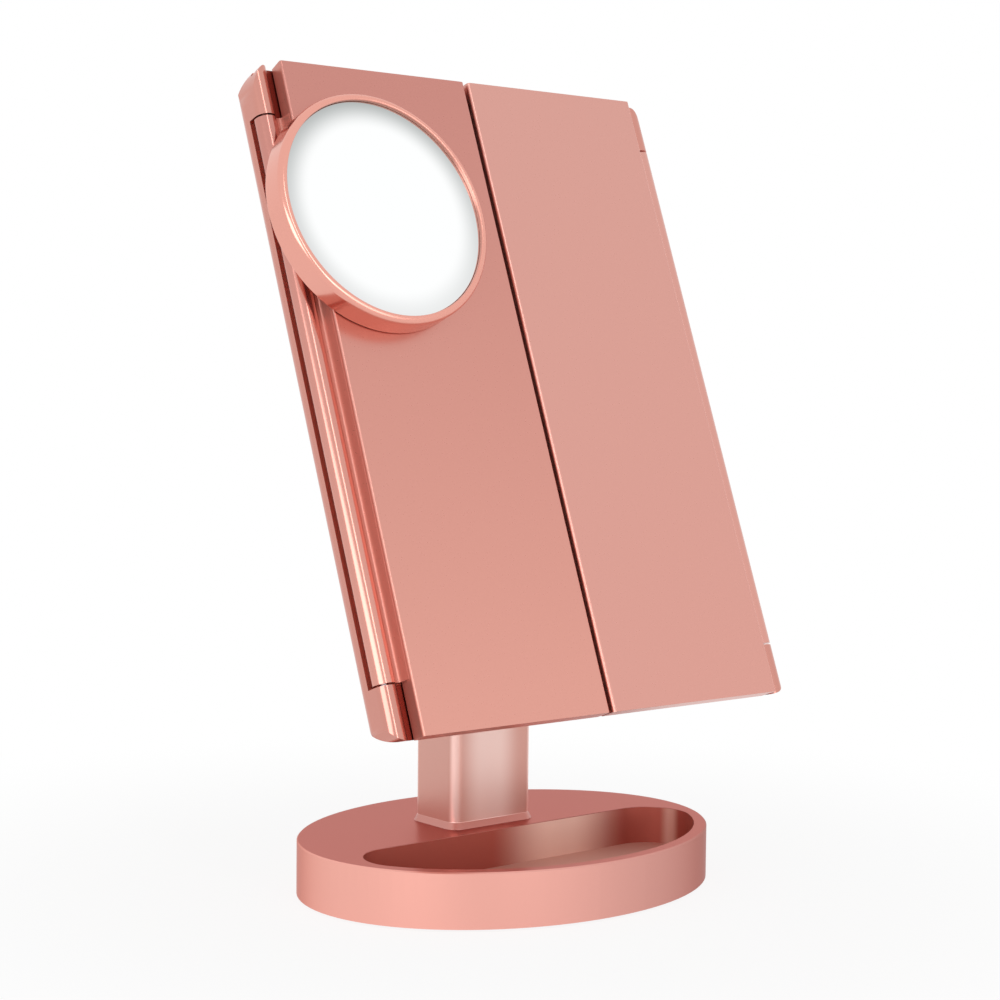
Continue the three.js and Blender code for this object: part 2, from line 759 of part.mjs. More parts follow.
function batteryCell(i) {
  const nub = 1;
  return raised(disc(cellRadius, cellX(i), cellBack), cellLow, cellLow + cellLength - nub, 10)
    .add(raised(disc(cellRadius * 0.35, cellX(i), cellBack), cellLow, cellLow + cellLength, 6));
}

function contactOutline() {
  const half = cellX(cellCount - 1) + cellRadius * 0.7;
  return rectangle(-half, trayFront + trayWall + slip, half, cellBack - slip);
}

function contactPlate() {
  const low = trayHigh - trayWall - slip - plateThickness;
  return raised(contactOutline(), low, low + plateThickness);
}

function springPlate() {
  const low = trayLow + trayWall + slip;
  let body = raised(contactOutline(), low, low + plateThickness);
  for (let i = 0; i < cellCount; i += 1) {
    const spring = disc(cellRadius * 0.45, cellX(i), cellBack - cellRadius * 0.55);
    body = body.add(raised(spring, low, low + plateThickness + springLength - slip, 6));
  }
  return body;
}

function coverPlate() {
  const low = podUp + podWall + slip;
  let body = raised(coverSection(0), low, podTop);
  for (let i = 0; i < 3; i += 1) {
    const z = podTop - 8 - i * 2.6;
    body = body.subtract(across(disc(0.6, podBack + 0.15, z), -7, 7, 4));
  }
  return body;
}

// Tilt bracket
function tiltBracket() {
  const front = headDepth + slip;
  const plate = roundedRectangle(bracketWidth, bracketHeight, bracketCorner, 0, pivotUp);
  const lug = rectangle(front, pivotUp - lugRadius, pivotBack, pivotUp + lugRadius);
  let body = deepened(plate, front, front + bracketThickness, 5)
    .add(across(lug, -lugWidth / 2, lugWidth / 2))
    .add(across(disc(lugRadius, pivotBack, pivotUp), -lugWidth / 2, lugWidth / 2, 14))
    .subtract(across(disc(axleBore, pivotBack, pivotUp), -lugWidth, lugWidth, 8));
  for (const [x, z] of bracketScrewPlaces) {
    const seat = front + bracketThickness - bracketScrewHeadHeight;
    const past = front + bracketThickness + 1;
    body = body.subtract(deepened(disc(bracketScrewRadius + slip, x, z), front - 1, past, 6))
      .subtract(deepened(disc(bracketScrewHead + slip, x, z), seat - 0.1, past, 8));
  }
  return body;
}

function bracketScrew([x, z]) {
  const back = headDepth + slip + bracketThickness;
  return deepened(disc(bracketScrewHead, x, z), back - bracketScrewHeadHeight + 0.1, back, 8)
    .add(deepened(disc(bracketScrewRadius, x, z), innerBack - bracketBoss + 1 + slip, back - 0.2, 6));
}

// Doors: a thick cover whose outer edge runs down a cove to the hinge barrel
function doorSection(side) {
  const inner = doorGap / 2;
  const shape = new THREE.Shape();
  const to = (x, y) => shape.lineTo(side * x, y);
  const curve = (cx, cy, x, y) => shape.quadraticCurveTo(side * cx, cy, side * x, y);
  shape.moveTo(side * inner, doorDepth);
  to(inner, doorFreeEdge);
  curve(inner, 0, inner + doorFreeEdge, 0);
  to(faceHalf - doorEdge, 0);
  curve(faceHalf, 0, faceHalf, doorEdge);
  to(faceHalf - doorDraft, doorDepth);
  shape.closePath();
  return shape;
}

function webSection(side) {
  const shape = new THREE.Shape();
  shape.moveTo(side * (faceHalf - doorEdge), doorEdge * 2).lineTo(side * faceHalf, doorEdge * 2);
  shape.quadraticCurveTo(side * (faceHalf + 0.1), coveFloor, side * (faceHalf + coveWidth), coveFloor);
  shape.lineTo(side * axisX, coveFloor).lineTo(side * axisX, webBack);
  shape.lineTo(side * (faceHalf + 0.6), webBack).lineTo(side * (faceHalf - slip), doorDepth - slip);
  shape.lineTo(side * (faceHalf - doorDraft * 2), doorDepth - slip).closePath();
  return shape;
}

function doorCover(side) {
  const glass = rectangle(side * (doorGap / 2 + doorLip), doorLip,
    side * (faceHalf - doorLip), headHeight - doorLip);
  const magnet = disc(magnetRadius + slip, side * magnetSide, headHeight - magnetDown);
  let body = raised(doorSection(side), 0, headHeight, 4)
    .add(raised(webSection(side), barrelLow, barrelHigh, 6))
    .add(raised(disc(barrelRadius, side * axisX, barrelBack), barrelLow, barrelHigh, 12))
    .subtract(deepened(glass, doorSkin, doorDepth + 1))
    .subtract(deepened(magnet, doorSkin - magnetThickness - slip * 2, doorDepth, 8))
    .subtract(raised(disc(boreRadius, side * axisX, barrelBack), 0, headHeight, 8));
  if (side * spotX > 0) {
    const keeper = disc(keeperRadius + slip, spotX, spotUp);
    body = body.subtract(deepened(keeper, doorSkin - keeperThickness - slip * 2, doorDepth, 12));
  }
  return body;
}

function doorMirror(side) {
  const edge = doorLip + slip;
  const glass = rectangle(side * (doorGap / 2 + edge), edge,
    side * (faceHalf - edge), headHeight - edge);
  return deepened(glass, doorSkin + slip, doorSkin + slip + doorGlass);
}

function doorMagnet(side) {
  const back = doorSkin - slip;
  const magnet = disc(magnetRadius, side * magnetSide, headHeight - magnetDown);
  return deepened(magnet, back - magnetThickness, back, 8);
}

function keeperPlate() {
  const back = doorSkin - slip;
  return deepened(disc(keeperRadius, spotX, spotUp), back - keeperThickness, back, 12);
}

// Spot mirror, turned about its own axis; y is the distance in front of the door
const spotGlassFront = spotDepth - spotGlassSet;
const spotGlassBack = spotGlassFront - spotGlassEdge;
const spotPlace = (body) => body.rotate([180, 0, 0]).translate([spotX, 0, spotUp]);

function spotShell() {
  const seat = spotGlassRadius + slip;
  const room = spotMagnetRadius + slip;
  const roomFloor = slip + spotFloor;
  return spotPlace(turned([
    [0, slip], [spotRadius - spotBevel / 2, slip], [spotRadius, slip + spotBevel / 2],
    [spotRadius, spotDepth - spotBevel], [spotRadius - spotBevel, spotDepth],
    [seat + spotBevel / 2, spotDepth], [seat, spotDepth - spotBevel / 2],
    [seat, spotGlassBack - slip], [room, spotGlassBack - slip],
    [room, roomFloor], [0, roomFloor],
  ], 72));
}

function spotGlass() {
  const profile = [[0, spotGlassBack], [spotGlassRadius, spotGlassBack]];
  for (let i = 8; i >= 0; i -= 1) {
    const radius = (spotGlassRadius * i) / 8;
    profile.push([radius, spotGlassFront - spotSag * (1 - (radius / spotGlassRadius) ** 2)]);
  }
  return spotPlace(turned(profile, 72));
}

function spotMagnet() {
  const low = slip * 2 + spotFloor;
  const high = low + spotMagnetThickness;
  return spotPlace(turned([[0, low], [spotMagnetRadius, low], [spotMagnetRadius, high], [0, high]], 24));
}

// Finishes
function finish(color, roughness, metalness) {
  return new THREE.MeshStandardMaterial({ color, roughness, metalness });
}
const roseGold = finish(0xd9998a, 0.38, 0.35);
const white = finish(0xeeece8, 0.5, 0);
const dark = finish(0x2a2a2c, 0.8, 0);
const steel = finish(0xb9bcc0, 0.35, 1);
const mirrorGlass = finish(0xf2f4f5, 0.03, 1);
const frosted = finish(0xf7f6f0, 0.6, 0);
const boardGreen = finish(0x2f6b45, 0.6, 0);
const copper = finish(0xb87352, 0.4, 0.9);
const cellWrap = finish(0x4a5560, 0.45, 0.3);

// Assembly
const mirror = new THREE.Group();
const head = new THREE.Group();
head.position.set(0,
  columnY - pivotUp * Math.sin(restTilt) - pivotBack * Math.cos(restTilt),
  pivotHeight - pivotUp * Math.cos(restTilt) + pivotBack * Math.sin(restTilt));
head.rotation.x = -restTilt;
mirror.add(head);

function add(group, name, body, material) {
  const mesh = new THREE.Mesh(geometryOf(body), material);
  mesh.name = name;
  group.add(mesh);
}

add(mirror, "foot_pad", footPad(), dark);
add(mirror, "base_shell", baseShell(), roseGold);
add(mirror, "base_cover", baseCover(), roseGold);
add(mirror, "base_weight", baseWeight(), steel);
posts.forEach((place, i) => add(mirror, `cover_screw_${i + 1}`, coverScrew(place), steel));
add(mirror, "column", column(), roseGold);
boltPlaces.forEach((x, i) => add(mirror, `column_bolt_${i + 1}`, columnBolt(x), steel));
add(mirror, "axle_bolt", axleBolt(), steel);
add(mirror, "axle_nut", axleNut(), steel);

add(head, "rear_shell", rearShell(), roseGold);
add(head, "front_frame", frontFrame(), roseGold);
add(head, "centre_mirror", centreMirror(), mirrorGlass);
add(head, "touch_pad", touchPad(), copper);
add(head, "catch_strip", catchStrip(), steel);
frameScrewPlaces.forEach((place, i) => add(head, `frame_screw_${i + 1}`, frameScrew(place), steel));
add(head, "control_board", controlBoard(), boardGreen);
add(head, "power_socket", powerSocket(), steel);
add(head, "switch_body", switchBody(), steel);
add(head, "switch_slider", switchSlider(), dark);
add(head, "battery_tray", batteryTray(), dark);
for (let i = 0; i < cellCount; i += 1) add(head, `battery_cell_${i + 1}`, batteryCell(i), cellWrap);
add(head, "contact_plate", contactPlate(), steel);
add(head, "spring_plate", springPlate(), steel);
add(head, "battery_cover", coverPlate(), roseGold);
add(head, "tilt_bracket", tiltBracket(), roseGold);
bracketScrewPlaces.forEach((place, i) => add(head, `bracket_screw_${i + 1}`, bracketScrew(place), steel));

for (const [side, hand] of [[-1, "left"], [1, "right"]]) {
  add(mirror, `washer_${hand}`, washer(side), dark);
  add(mirror, `end_cap_${hand}`, endCap(side), roseGold);
  add(head, `light_strip_${hand}`, lightStrip(side), frosted);
  add(head, `led_board_${hand}`, ledBoard(side), white);
  add(head, `hinge_rod_${hand}`, hingeRod(side), steel);
  add(head, `${hand}_door`, doorCover(side), roseGold);
  add(head, `${hand}_door_mirror`, doorMirror(side), mirrorGlass);
  add(head, `${hand}_door_magnet`, doorMagnet(side), steel);
}
add(head, "keeper_plate", keeperPlate(), steel);
add(head, "spot_shell", spotShell(), roseGold);
add(head, "spot_mirror", spotGlass(), mirrorGlass);
add(head, "spot_magnet", spotMagnet(), steel);

export default mirror;
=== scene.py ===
import json
import math

import bmesh
import bpy
from mathutils import Matrix, Vector

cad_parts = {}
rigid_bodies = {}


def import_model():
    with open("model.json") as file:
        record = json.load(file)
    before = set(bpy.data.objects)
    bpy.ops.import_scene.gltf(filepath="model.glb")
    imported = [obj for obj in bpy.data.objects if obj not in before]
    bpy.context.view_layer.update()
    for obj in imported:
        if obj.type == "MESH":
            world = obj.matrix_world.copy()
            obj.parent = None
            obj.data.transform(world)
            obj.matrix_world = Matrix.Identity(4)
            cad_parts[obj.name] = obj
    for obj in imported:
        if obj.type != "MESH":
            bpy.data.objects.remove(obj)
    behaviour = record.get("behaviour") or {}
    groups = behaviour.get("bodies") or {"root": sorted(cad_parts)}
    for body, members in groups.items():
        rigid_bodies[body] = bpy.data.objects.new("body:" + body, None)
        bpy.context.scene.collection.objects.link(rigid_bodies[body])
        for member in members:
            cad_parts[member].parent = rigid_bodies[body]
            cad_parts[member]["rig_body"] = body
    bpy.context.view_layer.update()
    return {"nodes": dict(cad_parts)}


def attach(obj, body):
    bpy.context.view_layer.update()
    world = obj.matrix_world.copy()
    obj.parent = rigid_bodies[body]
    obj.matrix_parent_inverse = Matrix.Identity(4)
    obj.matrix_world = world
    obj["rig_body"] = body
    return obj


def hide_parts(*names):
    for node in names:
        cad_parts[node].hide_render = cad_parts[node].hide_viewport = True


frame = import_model()
scene = bpy.context.scene

# Camera: the mirror is seen from its left and a little above the tray, through a long lens,
# with the closed doors turned about forty degrees away.
camera = bpy.data.objects.new("camera", bpy.data.cameras.new("camera"))
scene.collection.objects.link(camera)
scene.camera = camera
camera.data.sensor_width = 36
camera.data.lens = 76.28
camera.data.clip_start = 0.01
camera_point = (-0.4887, -0.5903, 0.1868)
yaw, pitch, roll = (math.radians(angle) for angle in (39.374, 3.5, 0.571))
camera.matrix_world = (
    Matrix.Translation(camera_point)
    @ Matrix.Rotation(-yaw, 4, "Z")
    @ Matrix.Rotation(math.radians(90) - pitch, 4, "X")
    @ Matrix.Rotation(roll, 4, "Z")
)


# Foot pad: an oval of black foam rubber, die-cut from sheet and glued under the bottom plate so
# that the mirror does not slide. Its skin is matt and finely pitted.
class Level:
    """A number that varies over a surface: sums, products and tests of it add their Math nodes."""

    def __init__(self, finish, socket):
        self.finish, self.socket = finish, socket

    def math(self, operation, first, second=0):
        return self.finish.node("ShaderNodeMath", {"operation": operation}, {0: first, 1: second})

    def __add__(self, other):
        return self.math("ADD", self, other)

    def __radd__(self, other):
        return self.math("ADD", other, self)

    def __sub__(self, other):
        return self.math("SUBTRACT", self, other)

    def __rsub__(self, other):
        return self.math("SUBTRACT", other, self)

    def __mul__(self, other):
        return self.math("MULTIPLY", self, other)

    def __rmul__(self, other):
        return self.math("MULTIPLY", other, self)

    def __gt__(self, other):
        return self.math("GREATER_THAN", self, other)

    def __lt__(self, other):
        return self.math("LESS_THAN", self, other)

    def __abs__(self):
        return self.math("ABSOLUTE", self)


class Finish:
    """A material or a world, and the one way in which its nodes are made and joined."""

    def __init__(self, name, kind=bpy.data.materials, shader="Principled BSDF"):
        self.made = kind.new(name)
        self.made.use_nodes = True
        self.tree = self.made.node_tree
        self.shader = self.tree.nodes[shader]

    def node(self, kind, settings=None, sockets=None, output=0):
        made = self.tree.nodes.new(kind)
        for name, value in (settings or {}).items():
            setattr(made, name, value)
        self.join(made, sockets or {})
        return Level(self, made.outputs[output])

    def join(self, made, sockets):
        for name, value in sockets.items():
            if isinstance(value, Level):
                self.tree.links.new(value.socket, made.inputs[name])
            elif made.inputs[name].type == "RGBA":
                made.inputs[name].default_value = (*value, 1)
            else:
                made.inputs[name].default_value = value

    def coat(self, **sockets):
        self.join(self.shader, {name.replace("_", " "): value for name, value in sockets.items()})
        return self.made

    def place(self, location=(0, 0, 0), rotation=(0, 0, 0), stretch=(1, 1, 1)):
        where = self.node("ShaderNodeTexCoord", output="Object")
        return self.node("ShaderNodeMapping", None, {
            "Vector": where, "Location": location, "Rotation": rotation, "Scale": stretch})

    def reach(self, axis, **lie):
        """How far a point lies along one axis, in metres."""
        return self.node("ShaderNodeSeparateXYZ", None, {0: self.place(**lie)}, axis)

    def length(self, vector):
        return self.node("ShaderNodeVectorMath", {"operation": "LENGTH"}, {0: vector}, "Value")

    def ramp(self, value, start, end, first=0.0, last=1.0, kind="SMOOTHSTEP"):
        """Goes from first to last while a number goes from start to end."""
        return self.node("ShaderNodeMapRange", {"interpolation_type": kind}, {
            "Value": value, "From Min": start, "From Max": end, "To Min": first, "To Max": last})

    def noise(self, scale, detail=2, **lie):
        return self.node("ShaderNodeTexNoise", None, {
            "Vector": self.place(**lie), "Scale": scale, "Detail": detail})

    def mix(self, share, first, second):
        return self.node("ShaderNodeMix", {"data_type": "RGBA"}, {0: share, 6: first, 7: second}, 2)

    def bump(self, height, depth):
        return self.node("ShaderNodeBump", None, {"Height": height, "Distance": depth})


def tint(red, green, blue):
    """A colour in linear light from its usual 0 to 255 values."""
    return tuple(((c / 255 + 0.055) / 1.055) ** 2.4 for c in (red, green, blue))


metres = Matrix.Scale(0.001, 4)
crease = math.radians(35)


def fit(name, bm, finish, *nodes, place=Matrix(), from_solid=False):
    """Makes a mesh in millimetres into the piece that stands for its nodes and moves with them."""
    if not from_solid:
        bmesh.ops.remove_doubles(bm, verts=bm.verts, dist=0.001)
        bmesh.ops.recalc_face_normals(bm, faces=bm.faces)
    bmesh.ops.transform(bm, matrix=metres @ place, verts=bm.verts)
    for face in bm.faces:
        face.smooth = True
    mesh = bpy.data.meshes.new(name)
    bm.to_mesh(mesh)
    bm.free()
    mesh.set_sharp_from_angle(angle=crease)
    mesh.materials.append(finish)
    piece = bpy.data.objects.new(name, mesh)
    scene.collection.objects.link(piece)
    piece.modifiers.new("flat_faces", "WEIGHTED_NORMAL").keep_sharp = True
    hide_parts(*nodes)
    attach(piece, frame["nodes"][nodes[0]]["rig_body"])


def soften(bm, radius, segments=2, over=30, where=lambda middle: True):
    """Rounds the edges that turn by more than an angle."""
    edges = [edge for edge in bm.edges
             if len(edge.link_faces) == 2 and edge.calc_face_angle(0) > math.radians(over)
             and where((edge.verts[0].co + edge.verts[1].co) / 2)]
    bmesh.ops.bevel(bm, geom=edges, offset=radius, segments=segments, profile=0.5, affect="EDGES",
                    clamp_overlap=True, material=-1)


def disc(bm, radius, low, high, segments=48):
    """A round plate standing on the table, from one height to another."""
    middle = Matrix.Translation((0, 0, (low + high) / 2))
    return bmesh.ops.create_cone(bm, cap_ends=True, segments=segments, radius1=radius,
                                 radius2=radius, depth=high - low, matrix=middle)["verts"]


foam = Finish("foam_rubber")
pits = foam.node("ShaderNodeTexVoronoi", None, {"Vector": foam.place(), "Scale": 1500})
foam_rubber = foam.coat(
    Base_Color=foam.mix(foam.noise(400, 3), tint(24, 24, 26), tint(40, 39, 40)),
    Roughness=0.82 + 0.12 * foam.noise(90),
    Normal=foam.bump(pits, 0.00012),
)
pad_half_length, pad_half_width, pad_thickness = 75.1, 58, 1
bm = bmesh.new()
sole = disc(bm, 1, 0, pad_thickness, 144)
bmesh.ops.scale(bm, vec=(pad_half_length, pad_half_width, 1), verts=sole)
soften(bm, 0.15)
fit("foam_foot", bm, foam_rubber, "foot_pad")


# Bottom plate: a moulded oval lid that drops into the base from below, sprayed like the rest. Its
# four screw holes are countersunk so that the heads stay above the foam.
def copied(node, radius, rim_radius=0, rim=None):
    """A copy of a solid in millimetres, its facets joined, and its rim and other edges rounded."""
    real_turn = 28
    bm = bmesh.new()
    bm.from_mesh(frame["nodes"][node].data)
    bmesh.ops.scale(bm, vec=(1000, 1000, 1000), verts=bm.verts)
    bmesh.ops.remove_doubles(bm, verts=bm.verts, dist=0.001)
    bmesh.ops.dissolve_limit(bm, angle_limit=math.radians(0.6), verts=bm.verts, edges=bm.edges)
    if rim:
        soften(bm, rim_radius, 3, real_turn, rim)
    soften(bm, radius, 2, real_turn)
    return bm


def fit_copy(name, node, finish, radius):
    fit(name, copied(node, radius), finish, node, from_solid=True)


class RoseGold(Finish):
    """Sprayed satin rose gold: fine metal flake in slow clouds, under lacquer that dries smooth."""

    def __init__(self, name):
        super().__init__(name)
        self.flake = self.noise(1600, 1)

    def spray(self, colour, metal, gloss, peel_depth=0.0000018, **more):
        return self.coat(
            Base_Color=colour,
            Metallic=metal,
            Roughness=gloss + 0.015 * self.flake,
            Normal=self.bump(self.noise(330) + 0.05 * self.flake, peel_depth),
            **more,
        )


def rose_gold(name, deep, pale, metal=0.94, gloss=0.24):
    """The paint of a piece that is one colour all over."""
    paint = RoseGold(name)
    cloud = paint.noise(6)
    colour = paint.mix(0.85 * cloud + 0.15 * paint.flake, tint(*deep), tint(*pale))
    return paint.spray(colour, metal, gloss + 0.06 * cloud)


plate_gold = rose_gold("plate_rose_gold", (202, 137, 126), (210, 146, 134))
fit_copy("bottom_plate", "base_cover", plate_gold, 0.2)

# Ballast: a flat half-oval of cast iron behind the tray, which keeps the tall head from tipping the
# base. It is left as it comes from the sand, grey and grainy.
iron = Finish("cast_iron")
sand = iron.noise(420, 5)
cast_iron = iron.coat(
    Base_Color=iron.mix(iron.noise(60, 4), tint(70, 68, 68), tint(104, 99, 95)),
    Metallic=0.55,
    Roughness=0.62 + 0.2 * sand,
    Normal=iron.bump(sand, 0.00025),
)
fit_copy("iron_ballast", "base_weight", cast_iron, 0.6)

# Plate screws: four zinc-plated self-tapping screws with a cross recess, driven up through the
# bottom plate into the posts moulded inside the base.
steel = Finish("zinc_steel")
grain = steel.noise(260, 3, stretch=(1, 1, 6))
zinc_steel = steel.coat(
    Base_Color=steel.mix(steel.noise(40, 3), tint(172, 175, 180), tint(204, 205, 206)),
    Metallic=1,
    Roughness=0.26 + 0.16 * grain,
    Normal=steel.bump(grain, 0.00002),
)


def extrude(bm, faces, shift):
    """Carries faces to a new place with walls behind them, and gives the carried faces."""
    made = bmesh.ops.extrude_face_region(bm, geom=faces)["geom"]
    corners = [part for part in made if isinstance(part, bmesh.types.BMVert)]
    bmesh.ops.translate(bm, vec=shift, verts=corners)
    return [part for part in made if isinstance(part, bmesh.types.BMFace)]


def step_down(bm, edges, depth):
    """Draws a wall down from a closed line of edges, and gives its lower corners and edges."""
    made = bmesh.ops.extrude_edge_only(bm, edges=edges)["geom"]
    corners = [part for part in made if isinstance(part, bmesh.types.BMVert)]
    bmesh.ops.translate(bm, vec=(0, 0, -depth), verts=corners)
    return corners, [part for part in made if isinstance(part, bmesh.types.BMEdge)
                     and all(corner in corners for corner in part.verts)]


def ring_edges(corners):
    """Each edge that ends in one of the corners, once and in the same order every run."""
    return list(dict.fromkeys(edge for corner in corners for edge in corner.link_edges))


def cross_screw(bm, head_radius, head_height, shank_radius, length, recess):
    """A screw with the top of its head at the origin, a cross sunk into it and its shank below."""
    cross_reach, cross_waist, floor_taper, tip_taper = 0.55, 0.366, 0.7, 0.8
    rim = bmesh.ops.create_circle(bm, segments=24, radius=head_radius)["verts"]
    cross = bmesh.ops.create_circle(bm, segments=12, radius=head_radius * cross_reach,
                                    matrix=Matrix.Rotation(math.radians(15), 4, "Z"))["verts"]
    bmesh.ops.scale(bm, vec=(cross_waist, cross_waist, 1), verts=cross[1::3])
    rim_edges, cross_edges = ring_edges(rim), ring_edges(cross)
    bmesh.ops.bridge_loops(bm, edges=rim_edges + cross_edges)
    floor, floor_edges = step_down(bm, cross_edges, recess)
    bmesh.ops.scale(bm, vec=(floor_taper, floor_taper, 1), verts=floor)
    bmesh.ops.edgeloop_fill(bm, edges=floor_edges)
    under_edges = step_down(bm, rim_edges, head_height)[1]
    bottom = bmesh.ops.edgeloop_fill(bm, edges=under_edges)["faces"]
    bmesh.ops.recalc_face_normals(bm, faces=bm.faces)
    bmesh.ops.inset_region(bm, faces=bottom, thickness=head_radius - shank_radius,
                           use_even_offset=True)
    tip = extrude(bm, bottom, (0, 0, head_height - length))
    bmesh.ops.scale(bm, vec=(tip_taper, tip_taper, 1), verts=list(tip[0].verts))
    soften(bm, min(head_height, head_radius) * 0.22, 2, 60)


def screw_in(name, node, point, turn, **sizes):
    """One screw with its head at a point, turned to face out of the surface that it holds down."""
    bm = bmesh.new()
    cross_screw(bm, **sizes)
    fit(name, bm, zinc_steel, node, place=Matrix.Translation(point) @ turn)


upside_down = Matrix.Rotation(math.pi, 4, "X")
post_half_length, post_half_width, plate_face = 67.1, 50, 1
for count, angle in enumerate((15, 60, 120, 165), 1):
    turn = math.radians(angle)
    point = (post_half_length * math.cos(turn), post_half_width * math.sin(turn), plate_face)
    screw_in(f"plate_screw_{count}", f"cover_screw_{count}", point, upside_down,
             head_radius=2.5, head_height=0.6, shank_radius=1.3, length=7.8, recess=0.35)

# Base: an oval tray moulded in one piece, with a D-shaped hollow for small things in front of the
# column, sprayed inside and out in one paint. Painted light makes the left side palest, painted
# shade deepens the flat top and, deepest, the hollow's wall, and painted highlights lie on that
# wall at its middle and in the right bend. The hollow's floor is painted a paler tone as light.
X, Y, Z = range(3)
base_paint = RoseGold("base_rose_gold")
slab_top, tray_brim, tray_floor = 0.02004, 0.0199, 0.00624
tray_half_length, tray_half_width = 0.0765, 0.0594
painted_highlight_x, bend_x, bend_y = 0.026, 0.06, -0.0122
cloud = base_paint.noise(6)
share = 0.7 * cloud + 0.3 * base_paint.flake
across, height = base_paint.reach(X), base_paint.reach(Z)
from_centre = base_paint.length(
    base_paint.place(stretch=(1 / tray_half_length, 1 / tray_half_width, 0)))
hollow = (from_centre < 1.01) * (height < tray_brim)
bottom = hollow * (height < tray_floor)
# Painted light: the outer side is palest on the left and deepens towards the right.
painted_light_fade = base_paint.ramp(across, -0.08, 0.045, kind="LINEAR")
side = base_paint.mix(0.9 * painted_light_fade + 0.1 * share, tint(246, 178, 164), tint(199, 144, 136))
# Painted shade: the flat top is deeper than the side.
flat = base_paint.mix(share, tint(211, 139, 131), tint(218, 147, 138))
# Painted highlights on the hollow's wall: a broad band at its middle and a narrow glint in the
# right bend.
from_painted_highlight = abs(base_paint.reach(X, location=(-painted_highlight_x, 0, 0)))
from_bend = abs(base_paint.reach(Y, location=(0, -bend_y, 0)))
painted_highlight = base_paint.ramp(from_painted_highlight, 0.004, 0.034, 1.0, 0.0)
painted_glint = base_paint.ramp(from_bend, 0.0005, 0.0044, 0.5, 0.0) * (across > bend_x)
# Painted shade: the hollow's wall is a deep red.
wall = base_paint.mix(share, tint(174, 90, 77), tint(180, 96, 83))
wall = base_paint.mix(painted_highlight + painted_glint, wall, tint(255, 220, 204))
# Painted light: the hollow's floor is painted paler than its wall.
tray = base_paint.mix(share, tint(208, 160, 146), tint(214, 166, 152))
outside = base_paint.mix(height > slab_top, side, flat)
base_gold = base_paint.spray(
    base_paint.mix(hollow, outside, base_paint.mix(bottom, wall, tray)),
    metal=0.94 - 0.44 * hollow - 0.35 * bottom,
    gloss=0.28 + 0.14 * hollow + 0.06 * cloud,
    peel_depth=0.000002,
    Specular_Tint=(0.62, 0.42, 0.4),
)
bm = copied("base_shell", 0.2, rim_radius=0.45, rim=lambda middle: middle.z > 19)
fit("oval_tray", bm, base_gold, "base_shell", from_solid=True)

# Column: a hollow post with a rounded oblong plan, standing on a thin flared foot. A painted
# highlight runs down its middle and along its corners, its tones are painted paler than the rest
# as light, and its foot is painted darker as shade. Two bolts hold it from inside the base, and
# its top is a fork for the head's tilting joint.
post_paint = RoseGold("column_rose_gold")
foot_top, post_y, painted_sheen_x = 0.0224, 0.0193, -0.002
cloud = post_paint.noise(6)
from_painted_sheen = abs(post_paint.reach(X, location=(-painted_sheen_x, 0, 0)))
from_middle = abs(post_paint.reach(Y, location=(0, -post_y, 0)))
# Painted highlight: a pale band down the middle of the post.
painted_sheen = post_paint.ramp(from_painted_sheen, 0.004, 0.0155, 1.0, 0.0)
# Painted highlight: pale along the rounded corners.
corner = (post_paint.ramp(abs(post_paint.reach(X)), 0.0154, 0.0171)
          * post_paint.ramp(from_middle, 0.0089, 0.0106))
# Painted light: the post's tones are paler than the rest of the paint.
face = post_paint.mix(0.85 * painted_sheen + 0.1 * cloud, tint(218, 163, 150), tint(252, 222, 213))
face = post_paint.mix(corner, face, tint(255, 214, 204))
# Painted shade: the foot below foot_top is darker.
column_gold = post_paint.spray(
    post_paint.mix(post_paint.reach(Z) < foot_top, face, tint(206, 142, 132)),
    metal=0.6,
    gloss=0.3 + 0.06 * cloud,
    peel_depth=0.000002,
)
fit_copy("post", "column", column_gold, 0.35)
for count, x in ((1, -11), (2, 11)):
    screw_in(f"post_bolt_{count}", f"column_bolt_{count}", (x, 19.3, 15.5), upside_down,
             head_radius=3.6, head_height=2.4, shank_radius=2, length=8.6, recess=1.2)

# Tilting joint: a steel bolt and nut through the fork, with a friction washer on each side of the
# head's lug so that the head stays where it is put. Two pressed caps close the bolt's ends.
to_right = Matrix.Rotation(math.radians(90), 4, "Y")
to_left = Matrix.Rotation(math.radians(-90), 4, "Y")
pivot = Vector((0, 19.3, 176.4))
bolt_out, nut_out, washer_out, cap_out = -16.8, 14.1, 7.925, 17.2
screw_in("tilt_bolt", "axle_bolt", pivot + Vector((bolt_out, 0, 0)), to_left,
         head_radius=4.2, head_height=2.7, shank_radius=2.5, length=33.6, recess=1.3)
nut_radius, nut_bore, nut_height = 4.2, 2.8, 2.7
bm = bmesh.new()
bmesh.ops.create_circle(bm, segments=6, radius=nut_radius)
bmesh.ops.create_circle(bm, segments=24, radius=nut_bore)
nut_face = bmesh.ops.bridge_loops(bm, edges=bm.edges[:])["faces"]
extrude(bm, nut_face, (0, 0, nut_height))
bmesh.ops.recalc_face_normals(bm, faces=bm.faces)
soften(bm, 0.25, 2, 40)
fit("tilt_nut", bm, zinc_steel, "axle_nut",
    place=Matrix.Translation(pivot + Vector((nut_out, 0, 0))) @ to_right)


def turned(bm, profile, closed=False, steps=144):
    """Turns a profile of radius and height about the upright axis, as on a lathe."""
    corners = [bm.verts.new((radius, 0, height)) for radius, height in profile]
    ends = corners[1:] + corners[:1] if closed else corners[1:]
    lines = [bm.edges.new(pair) for pair in zip(corners, ends)]
    bmesh.ops.spin(bm, geom=corners + lines, angle=math.tau, steps=steps, axis=(0, 0, 1),
                   cent=(0, 0, 0), use_merge=True)
    bmesh.ops.remove_doubles(bm, verts=bm.verts, dist=0.001)
    bmesh.ops.recalc_face_normals(bm, faces=bm.faces)


